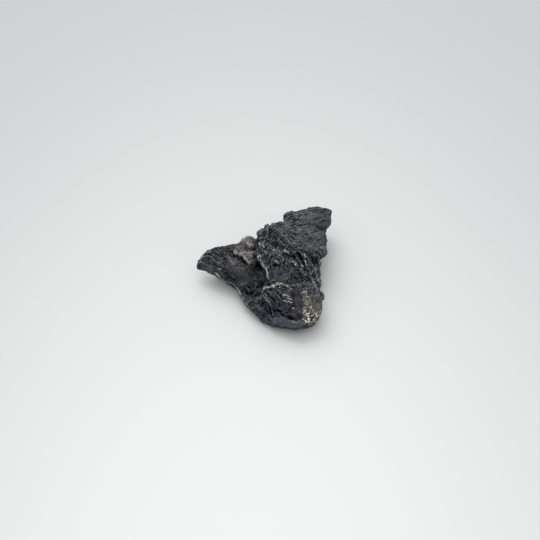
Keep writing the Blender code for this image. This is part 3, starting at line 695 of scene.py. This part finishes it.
edges = edges_of(iron)
points, normals = read_skin(iron)
fine = ((points - smoothed(points, edges, FINE_SMOOTHING)) * normals).sum(axis=1)
broad = ((points - smoothed(points, edges, BROAD_SMOOTHING)) * normals).sum(axis=1)
tree = skin_tree(iron)
store(iron, "crest", (fine - CREST_FROM) / CREST_OVER)
store(iron, "grain", broken)
store(iron, "grain_shine", grain_shine)

# %% [markdown]
# ## Bright lines
# The lips were raised along lines, so the same lines say where they shine, broken up by noise.
# The hairs are fainter lines that follow the flow.

# %% Lips and hairs
LIP_GAIN, LIP_FROM = 2.5, 0.8
HAIR_SHINE, SHINE_WIDTH = 0.6, 0.55
LIP_BREAKS, HAIR_BREAKS = (0.6, 33.0, 1.3), (1.4, 43.0, 0.8)  # size, seed and amount

lip_shine = np.zeros(len(points))
crinkle = noise_at(points, *LIP_BREAKS)
for _, width, shine, line in LIPS.values():
    near = nearness(points, trace(tree, line), width)
    lip_shine = np.maximum(lip_shine, shine * (LIP_GAIN * near - LIP_FROM) * (1.0 + crinkle))
store(iron, "lip", lip_shine)
hairs = hair_lines(points, *HAIR_KIND, SHINE_WIDTH)
store(iron, "hair", hairs * (HAIR_SHINE + noise_at(points, *HAIR_BREAKS)))

# %% [markdown]
# ## Painted shade in the hollows
# Hollows are painted dark as shade, over their darker oxide. Open, shallow ones catch the light all
# the same, so the shade is taken back there, and made stronger in a few dark corners.

# %% Hollows
# depth in millimetres below the smoothed skin that makes a hollow's painted shade full
HOLLOW_BROAD, HOLLOW_FINE = 0.22, 0.06  # millimetres that make a hollow fully dark
OPEN_SHARE, DIM_SHARE = 0.9, 0.35
OPEN_EDGE, DIM_EDGE = 1.5, 1.2
# open faces that catch the light, where the painted shade is taken back
OPEN_PLACES = [
    (244, 279, 3.0), (236, 270, 2.6), (247, 270, 2.4), (240, 286, 1.8), (229, 262, 2.4),
    (252, 268, 2.0), (252, 277, 2.4), (275, 243, 1.4), (297, 300, 2.4), (297, 292, 2.0),
    (297, 309, 2.0), (280, 275, 2.4), (301, 284, 1.6),
]
# corners where shade falls, where the painted shade is made stronger
DIM_PLACES = [(284, 272, 2.0), (276, 277, 1.8), (258, 284, 2.6), (251, 291, 2.2), (291, 277, 1.6)]
light = OPEN_SHARE * areas(tree, points, OPEN_PLACES, 0.0, OPEN_EDGE)
light -= DIM_SHARE * areas(tree, points, DIM_PLACES, 0.0, DIM_EDGE)
depth = np.clip(-broad / HOLLOW_BROAD - fine / HOLLOW_FINE, 0.0, 1.0)
# painted shade in the hollows, over the darker oxide in them
store(iron, "hollow_shade", depth - light)

# %% [markdown]
# ## The knob
# The knob carries a paler, chalky crust with a rust stripe. Overlapping round areas outline it
# better than one ball would. Smaller ones paint highlights on its lit lobes and shade on its
# shaded right side, along with some paler and darker crust.

# %% Knob and rust
KNOB_AREAS = [
    (246.5, 241, 1.9), (249.5, 244.4, 1.4), (243.4, 243.6, 1.4), (238, 250.4, 1.5),
    (241.6, 252, 1.6), (235.8, 252, 1.0), (246, 252, 1.7), (248, 256, 1.7), (249.4, 260.6, 1.3),
    (246.4, 258.2, 1.0), (253, 247, 0.7), (240, 246.8, 1.0), (244, 248, 1.2), (250.4, 252, 1.2),
]
# name: how strong the mask is, and the places in the view and radii of its round areas
KNOB_SPOTS = {
    # painted highlights on the lobes that face the light, with some paler crust
    "knob_pale_and_highlight": (0.9, [(244, 238.2, 0.9), (247.6, 242.4, 0.9), (249.4, 245, 0.7),
        (236.2, 251.6, 0.9), (241, 253.6, 0.8), (244.4, 257.6, 0.6), (246.6, 259.6, 0.6),
        (249.4, 262, 0.6), (247, 253, 0.8)]),
    # painted shade on the right side and under the cap, with some darker crust
    "knob_dark_and_shade": (0.8, [(249.4, 238, 0.9), (251.6, 240.2, 0.9), (240.6, 243.4, 1.0),
        (239, 246, 0.7), (242.6, 246.8, 0.6), (244.4, 250, 0.5), (253.4, 254, 0.9),
        (253, 258, 0.9), (252, 262, 0.9), (251.6, 250.4, 0.7)]),
}
RUST_LINE = [(245.8, 244.2), (246.4, 246), (248, 247.6), (250, 248.4), (252, 247.8)]
RUST_WIDTH, RUST_GAIN, KNOB_EDGE = 0.7, 1.5, 0.35
# size, seed and amount
KNOB_RAGGED, SPOT_RAGGED, RUST_BREAKS = (0.7, 31.0, 0.5), (0.7, 35.0, 0.5), (0.6, 37.0, 2.5)

def store_areas(table, wander):
    """Keep one mask for each row of a table of round areas."""
    for name, (amount, places) in table.items():
        store(iron, name, amount * areas(tree, points, places, wander))

ragged = noise_at(points, *KNOB_RAGGED)
store(iron, "knob", areas(tree, points, KNOB_AREAS, ragged, KNOB_EDGE))
rust = nearness(points, trace(tree, RUST_LINE), RUST_WIDTH)
store(iron, "rust", rust * (RUST_GAIN + noise_at(points, *RUST_BREAKS)))
store_areas(KNOB_SPOTS, noise_at(points, *SPOT_RAGGED))

# %% [markdown]
# ## Tints of the oxide
# Oxide takes its colour from its thickness and from what the iron lay in: blue where thin, brown
# where soil touched it, pale where dry. Some tints are painted light: a painted floor reflection on
# the pale rim of the left arm and the steel-grey wall of the nose, and painted shade with a teal
# tint in the crevice. Each tint gets a cloudy mask.

# %% Tints
# places in the view and radii of round areas
# the smooth front wall of the nose, where the steel tint paints the floor's reflection
SMOOTH_WALL = [(272, 317, 1.6), (276, 320, 1.8), (283, 321, 2.2), (291, 323, 2.2), (280, 315, 1.6)]
# name: how strong the mask is, and its round areas
TINTS = {
    "brown": (0.6, [(225, 261, 3.0), (232, 263, 3.2), (239, 266, 3.0), (286, 299, 2.0),
        (257, 305, 1.8), (300, 214, 3.0), (314, 213, 3.2), (298, 300, 2.4), (297, 291, 2.0),
        (297, 309, 2.0), (302, 283, 1.6)]),
    # pale oxide, and painted floor reflection on the lower rim of the left arm
    "pale_and_reflection": (0.75, [(290, 224, 3.4), (301, 220, 3.6), (313, 219, 3.4), (300, 234, 3.2),
        (312, 232, 2.6), (321, 249, 2.8), (305, 247, 2.6), (277, 230, 2.4), (283, 236, 2.2),
        (290, 242, 2.2), (298, 248, 2.4), (222, 279.4, 0.8), (229, 284.4, 0.8), (237, 291.6, 0.9),
        (241, 297.6, 0.9), (245, 303.4, 0.9), (243, 278, 2.6), (203, 262, 1.4), (262, 240, 1.4),
        (308, 262, 1.4), (300, 250, 1.6), (283, 232, 2.0), (292, 240, 2.0)]),
    # steel grey that paints the floor's reflection on the nose wall
    "steel_and_reflection": (0.9, SMOOTH_WALL + [(298, 324, 1.5), (266, 320, 1.2), (262, 231, 1.1),
        (267, 227, 0.9)]),
    "blue": (0.9, [(272, 248, 3.0), (280, 246, 2.4), (262, 245, 1.6), (274, 297, 2.2),
        (263, 308, 2.2), (284, 271, 2.2), (292, 277, 2.4), (300, 285, 1.6), (262, 258, 2.6),
        (226, 249, 2.6), (238, 276, 2.2)]),
    # painted shade with a teal tint, in the crevice and in a few shaded folds
    "teal_and_shade": (0.9, [(262, 284, 3.2), (250, 291, 3.2), (257, 280, 2.4), (267, 315, 2.0),
        (276, 274, 2.4)]),
    "fracture": (0.9, [(314, 297, 1.8), (317, 301, 2.2), (318.4, 295.6, 1.3), (316, 306, 1.9),
        (320, 305, 1.4), (311, 296, 1.4), (309, 303, 2.4), (306, 295, 1.6)]),
    "calm": (0.75, SMOOTH_WALL + [(299, 325, 2.0), (288, 327, 1.6), (306, 326, 1.6),
        (278, 275, 2.2), (272, 276, 1.8), (300, 222, 4.0), (312, 222, 4.0), (310, 235, 4.0),
        (316, 240, 3.0), (246, 282, 2.2), (317, 301, 2.6)]),
}
TINT_CLOUDS = (1.6, 51.0, 0.7)  # size, seed and amount
store_areas(TINTS, noise_at(points, *TINT_CLOUDS))

# %% [markdown]
# ## The way of the threads
# A pattern that runs with the metal needs coordinates that do: how far each point is along the
# flow, across it and up, or around a whorl and away from its middle. Noise bends the threads.

# %% Way
WHORL_EDGE = 0.8  # of its reach
TURN_LENGTH = 2.0  # millimetres of thread in each radian of a turn
BENDS = ((2.2, 1.0), (0.8, 0.25))  # size and amount of a thread's bends

way = along_and_across(points)
for place, reach in WHORLS.values():
    offset = points - np.array(place)
    away = np.linalg.norm(offset, axis=1)
    ring = away < WHORL_EDGE * reach
    turn = TURN_LENGTH * np.arctan2(offset[:, 1], offset[:, 0])
    way[ring] = np.stack([turn, away, points[:, 2]], 1)[ring]
for size, amount in BENDS:
    way += [noise.noise_vector(Vector(p) / size) * amount for p in points]
way_values = iron.data.attributes.new("way", "FLOAT_VECTOR", "POINT").data
way_values.foreach_set("vector", way.astype(np.float32).ravel())
print("way from", way.min(axis=0), "to", way.max(axis=0))

# %% [markdown]
# ## The finish
# Dark oxide, bright worn iron, a pale crust and rust, with painted shade, highlights and floor
# reflection: one material mixes them by the stored masks. A few helpers place and join the nodes,
# so that each line below is one step of the mix.

# %% Node helpers
NOISE_ROUGHNESS = 0.6

def put(tree, socket, value):
    """Join an output to this socket, or set the socket to a plain value."""
    if isinstance(value, bpy.types.NodeSocket):
        tree.links.new(value, socket)
    else:
        socket.default_value = value

def add_node(tree, kind, inputs, **settings):
    """A new shader node with these settings, and these sockets or values on its inputs."""
    node = tree.nodes.new("ShaderNode" + kind)
    for name, value in settings.items():
        setattr(node, name, value)
    for name, value in inputs.items():
        put(tree, node.inputs[name], value)
    return node

def new_material(obj, name, specular):
    """Give the object its one material, and return the material's node tree and shader."""
    material = bpy.data.materials.new(name)
    material.use_nodes = True
    shader = material.node_tree.nodes["Principled BSDF"]
    shader.inputs["Specular IOR Level"].default_value = specular
    obj.data.materials.clear()
    obj.data.materials.append(material)
    return material.node_tree, shader

def math_node(tree, operation, first, second, clamp=False):
    """One Math node. Each input is a socket or a number."""
    inputs = {0: first, 1: second}
    return add_node(tree, "Math", inputs, operation=operation, use_clamp=clamp).outputs[0]

def mix_colour(mask, first, second):
    """Mix two colours, each a socket or three numbers, in the tree that the mask is in."""
    first, second = ((*end, 1) if isinstance(end, tuple) else end for end in (first, second))
    inputs = {"Factor": mask, 6: first, 7: second}
    return add_node(mask.id_data, "Mix", inputs, data_type="RGBA").outputs[2]

def mix_number(mask, first, second):
    """Mix two numbers, each a socket or a number."""
    return add_node(mask.id_data, "Mix", {"Factor": mask, 2: first, 3: second}).outputs[0]

def new_group(name, inputs):
    """An empty node group with number inputs and a mask as its output."""
    group = bpy.data.node_groups.new(name, "ShaderNodeTree")
    for label, value in inputs.items():
        socket = group.interface.new_socket(label, in_out="INPUT", socket_type="NodeSocketFloat")
        socket.default_value = value
    group.interface.new_socket("Mask", in_out="OUTPUT", socket_type="NodeSocketFloat")
    return group, group.nodes.new("NodeGroupInput").outputs, group.nodes.new("NodeGroupOutput")

def noise_mask(group, given, output, vector, scale, detail):
    """Noise between the group's Low and High, as the group's mask."""
    values = {"Vector": vector, "Scale": scale, "Detail": detail,
              "Roughness": NOISE_ROUGHNESS}
    cloud = add_node(group, "TexNoise", values).outputs["Fac"]
    values = {"Value": cloud, "From Min": given["Low"], "From Max": given["High"]}
    put(group, output.inputs["Mask"], add_node(group, "MapRange", values).outputs["Result"])

# %% [markdown]
# ## Mottle and threads
# Oxide is never even: a cloudy noise on Object coordinates stays on the piece. Noise that is
# long in the way's first direction makes threads, too fine for the mesh.

# %% Mottle group
MOTTLE_DETAIL = 4.0

mottle, given, output = new_group("mottle", {"Size": 1.0, "Low": 0.4, "High": 0.6})
place = add_node(mottle, "TexCoord", {}).outputs["Object"]
scale = math_node(mottle, "DIVIDE", 1.0 / MM, given["Size"])
noise_mask(mottle, given, output, place, scale, MOTTLE_DETAIL)
print("group:", mottle.name, given.keys())

# %% Thread group
THREAD_DETAIL = 2.0

thread, given, output = new_group("thread", {"Length": 2.0, "Width": 0.3, "Low": 0.4, "High": 0.6})
along = add_node(thread, "Attribute", {}, attribute_name="way").outputs["Vector"]
sizes = {"X": given["Length"], "Y": given["Width"], "Z": given["Width"]}
inputs = {0: along, 1: add_node(thread, "CombineXYZ", sizes).outputs["Vector"]}
along = add_node(thread, "VectorMath", inputs, operation="DIVIDE").outputs["Vector"]
noise_mask(thread, given, output, along, 1.0, THREAD_DETAIL)
print("group:", thread.name, given.keys())

# %% [markdown]
# ## Oxide
# Thin oxide over iron is dark and partly metallic. It is grey with blue clouds and tints, among
# them painted floor reflection and painted shade, with thin lighter and darker threads, and its
# hollows are painted black as shade.

# %% Oxide
OXIDE_GREY = (0.029, 0.0298, 0.037)
# near black: the dark threads of the oxide, and the painted shade of the hollows
SHADE_AND_OXIDE_BLACK = (0.0022, 0.0027, 0.0085)
OXIDE_BLUE = (0.0185, 0.02, 0.035)
# pale oxide; it also paints the floor's reflection on the left arm's rim, and shade on the knob
PALE_OXIDE_REFLECTION_AND_SHADE = (0.086, 0.086, 0.086)
# tint colours: the pale and steel ones paint floor reflection in places, the teal one paints shade
TINT_COLOURS = {
    "blue": OXIDE_BLUE, "teal_and_shade": (0.005, 0.0125, 0.0225), "brown": (0.048, 0.045, 0.043),
    "pale_and_reflection": PALE_OXIDE_REFLECTION_AND_SHADE, "steel_and_reflection": (0.094, 0.108, 0.124), "fracture": (0.11, 0.106, 0.095),
}
HAIR_IRON = (0.16, 0.16, 0.168)
HAIR_SHARE, LIGHT_SHARE, DARK_SHARE = 0.3, 0.45, 0.8
BLUE_CLOUDS = (4.0, 0.42, 0.58)  # size in millimetres, and where the mask is 0 and 1
# the same with a length and a width, in millimetres
LIGHT_THREADS, DARK_THREADS = (2.0, 0.32, 0.50, 0.68), (2.4, 0.36, 0.46, 0.34)
SPECULAR = 0.32

nodes, shader = new_material(iron, "iron_crust", SPECULAR)

def stored(name):
    """The mask that the mesh carries under this name."""
    return add_node(nodes, "Attribute", {}, attribute_name=name).outputs["Fac"]

def pattern(group, values):
    """The mask of a node group with these values, in the order of its inputs."""
    return add_node(nodes, "Group", dict(enumerate(values)), node_tree=group).outputs["Mask"]

def times(first, second):
    """The product of two masks, kept between 0 and 1."""
    return math_node(nodes, "MULTIPLY", first, second, clamp=True)

def without(mask):
    """1 where the mask is 0, and 0 where it is 1."""
    return math_node(nodes, "SUBTRACT", 1.0, mask, clamp=True)

# painted shade in the hollows, with their darker oxide
hollow_shade = stored("hollow_shade")
oxide = mix_colour(pattern(mottle, BLUE_CLOUDS), OXIDE_GREY, OXIDE_BLUE)
for tint, tint_colour in TINT_COLOURS.items():
    oxide = mix_colour(stored(tint), oxide, tint_colour)
lively = without(stored("calm"))
oxide = mix_colour(times(times(stored("hair"), lively), HAIR_SHARE), oxide, HAIR_IRON)
light_thread = times(pattern(thread, LIGHT_THREADS), lively)
oxide = mix_colour(times(light_thread, LIGHT_SHARE), oxide, HAIR_IRON)
dark_thread = times(pattern(thread, DARK_THREADS), lively)
oxide = mix_colour(times(dark_thread, DARK_SHARE), oxide, SHADE_AND_OXIDE_BLACK)
# the hollows are painted near black, as shade
oxide = mix_colour(hollow_shade, oxide, SHADE_AND_OXIDE_BLACK)
print("oxide tints:", len(TINT_COLOURS))

# %% [markdown]
# ## Worn iron
# Handling rubs the crests bright here and there. Bare iron is fully metallic and smoother than
# its oxide. Hollows are nearly metallic too, which takes the grey haze off their painted black
# shade.

# %% Worn iron
WORN_IRON = (0.62, 0.61, 0.58)
OXIDE_METALLIC, BLACK_METALLIC, CREST_SHARE = 0.65, 0.95, 0.3
SATIN, WORN, DULL = 0.40, 0.32, 0.55  # how rough each is
WORN_CLOUDS, DULL_CLOUDS = (1.6, 0.4, 0.7), (0.45, 0.4, 0.6)

crest = times(times(stored("crest"), pattern(mottle, WORN_CLOUDS)), CREST_SHARE)
colour = mix_colour(crest, oxide, WORN_IRON)
roughness = mix_number(crest, SATIN, WORN)
roughness = mix_number(pattern(mottle, DULL_CLOUDS), roughness, DULL)
metallic = mix_number(hollow_shade, OXIDE_METALLIC, BLACK_METALLIC)
metallic = mix_number(crest, metallic, 1.0)
print("worn iron of roughness", WORN)

# %% [markdown]
# ## Crust of the knob
# The crust is mineral, so it isn't metallic. Its clouds, its painted highlights and shade, the
# painted shade of its gaps and its rust stripe are mixed first, and then the whole crust goes over
# the iron in one step.

# %% Knob crust
PALE_CRUST, PALE_CRUST_DARK = (0.29, 0.28, 0.252), (0.095, 0.09, 0.08)
# a painted highlight on the crust, and the painted shade of its gaps
CHALKY_CRUST_HIGHLIGHT, CRUST_GAP_SHADE = (0.56, 0.535, 0.5), (0.014, 0.012, 0.013)
RUST_RED = (0.07, 0.029, 0.03)
CRUST_CLOUDS = (0.8, 0.44, 0.64)
# the crust's painted highlights and shade, the painted shade of its gaps, and its rust
CRUST_COLOURS = {"knob_pale_and_highlight": CHALKY_CRUST_HIGHLIGHT, "knob_dark_and_shade": PALE_OXIDE_REFLECTION_AND_SHADE, "hollow_shade": CRUST_GAP_SHADE,
                 "rust": RUST_RED}

crust = mix_colour(pattern(mottle, CRUST_CLOUDS), PALE_CRUST, PALE_CRUST_DARK)
for name, crust_colour in CRUST_COLOURS.items():
    crust = mix_colour(stored(name), crust, crust_colour)
knob_mask = stored("knob")
colour = mix_colour(knob_mask, colour, crust)
metallic = times(metallic, without(knob_mask))
print("crust colours:", len(CRUST_COLOURS))

# %% [markdown]
# ## Crystals and lips
# Each grain of the break shines in its own way, so one mask sets both its colour and how
# metallic it is. The lips are worn bright and lie over everything else.

# %% Crystals and lips
GRAIN_IRON, GRAIN_GAP = (1.0, 0.92, 0.76), (0.042, 0.034, 0.023)
GRAIN_ROUGHNESS = 0.30
GLINT_CLOUDS, LIP_CLOUDS = (0.5, 0.20, 0.42), (0.6, 0.30, 0.52)

bright = times(stored("grain_shine"), pattern(mottle, GLINT_CLOUDS))
grain_mask = stored("grain")
colour = mix_colour(grain_mask, colour, mix_colour(bright, GRAIN_GAP, GRAIN_IRON))
metallic = mix_number(grain_mask, metallic, bright)
roughness = mix_number(grain_mask, roughness, GRAIN_ROUGHNESS)
lip = times(stored("lip"), pattern(mottle, LIP_CLOUDS))
colour = mix_colour(lip, colour, WORN_IRON)
metallic = mix_number(lip, metallic, 1.0)
print("grains of roughness", GRAIN_ROUGHNESS)

# %% [markdown]
# ## Put the finish on
# The mixes go to the shader's sockets. Only threads thinner than the mesh's faces are a bump.

# %% Iron crust
BUMP_STRENGTH, BUMP_DISTANCE = 0.9, 0.10 * MM
BUMP_THREADS = (1.4, 0.30, 0.25, 0.75)

threads = pattern(thread, BUMP_THREADS)
relief = {"Strength": BUMP_STRENGTH, "Distance": BUMP_DISTANCE, "Height": threads}
bump = add_node(nodes, "Bump", relief).outputs["Normal"]
mixes = {"Base Color": colour, "Metallic": metallic, "Roughness": roughness, "Normal": bump}
for name, value in mixes.items():
    put(nodes, shader.inputs[name], value)
iron.data.shade_smooth()
print("iron_crust:", len(nodes.nodes), "nodes")

# %% [markdown]
# ## Floor
# The fragment lies on pale matt paper, with a painted pool of light in its colour: it grows darker
# away from one bright place, as under a lamp. The fall-off is a bell curve, which has no visible
# rim.

# %% Floor
FLOOR_SIZE, FLOOR_ROUGHNESS, FLOOR_SPECULAR = 4.0, 0.9, 0.2
# the paper's colour in the middle of the painted pool of light, and far from it
FLOOR_NEAR, FLOOR_FAR = (0.90, 0.905, 0.89), (0.60, 0.615, 0.61)
LIGHT_POOL_PLACE = Vector((-0.005, -0.112, 0.0))
FADE = Vector((0.109, 0.207, 1.0))  # how far the brightness reaches to the side and back

bm = bmesh.new()
bmesh.ops.create_grid(bm, x_segments=1, y_segments=1, size=FLOOR_SIZE)
floor = new_piece("floor", bm)
sheet, shader = new_material(floor, "paper", FLOOR_SPECULAR)
put(sheet, shader.inputs["Roughness"], FLOOR_ROUGHNESS)
values = {"Vector": add_node(sheet, "TexCoord", {}).outputs["Object"],
          "Location": Vector(-b / f for b, f in zip(LIGHT_POOL_PLACE, FADE)),
          "Scale": Vector(1 / f for f in FADE)}
place = add_node(sheet, "Mapping", values).outputs["Vector"]
away = add_node(sheet, "VectorMath", {0: place, 1: place}, operation="DOT_PRODUCT")
falling = math_node(sheet, "MULTIPLY", away.outputs["Value"], -1.0)
# the painted pool of light, falling off as a bell curve
bright = math_node(sheet, "EXPONENT", falling, 0.0, clamp=True)
put(sheet, shader.inputs["Base Color"], mix_colour(bright, FLOOR_FAR, FLOOR_NEAR))
print("floor:", floor.dimensions)

# %% [markdown]
# ## Light
# The light is soft: an overcast sky, brighter behind, and a wide sun from behind on the left. A
# small lamp would give hard shadows, and sparks on every crest.

# %% Light
SKY_FRONT, SKY_BACK = 0.51, 0.90
SKY_COLOUR = (0.97, 0.985, 1.0, 1)
SUN_STRENGTH, SUN_WIDTH = 1.64, math.radians(50)
SUN_FROM = Vector((-0.15, 0.77, 0.62))

world = bpy.data.worlds.new("studio")
bpy.context.scene.world = world
world.use_nodes = True
studio = world.node_tree
sky = studio.nodes["Background"]
sky.inputs["Color"].default_value = SKY_COLOUR
direction = add_node(studio, "TexCoord", {}).outputs["Generated"]
backwards = add_node(studio, "SeparateXYZ", {"Vector": direction}).outputs["Y"]
values = {"Value": backwards, "From Min": -1.0, "To Min": SKY_FRONT, "To Max": SKY_BACK}
put(studio, sky.inputs["Strength"], add_node(studio, "MapRange", values).outputs["Result"])

lamp = bpy.data.lights.new("soft_sun", "SUN")
lamp.energy = SUN_STRENGTH
lamp.angle = SUN_WIDTH
sun = in_scene(bpy.data.objects.new("soft_sun", lamp))
sun.rotation_euler = (-SUN_FROM).to_track_quat("-Z", "Y").to_euler()
bpy.context.scene.view_settings.view_transform = "Standard"
print("sun from", SUN_FROM)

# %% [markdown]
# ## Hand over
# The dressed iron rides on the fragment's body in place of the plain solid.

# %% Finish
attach(iron, "root")
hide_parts("meteorite")
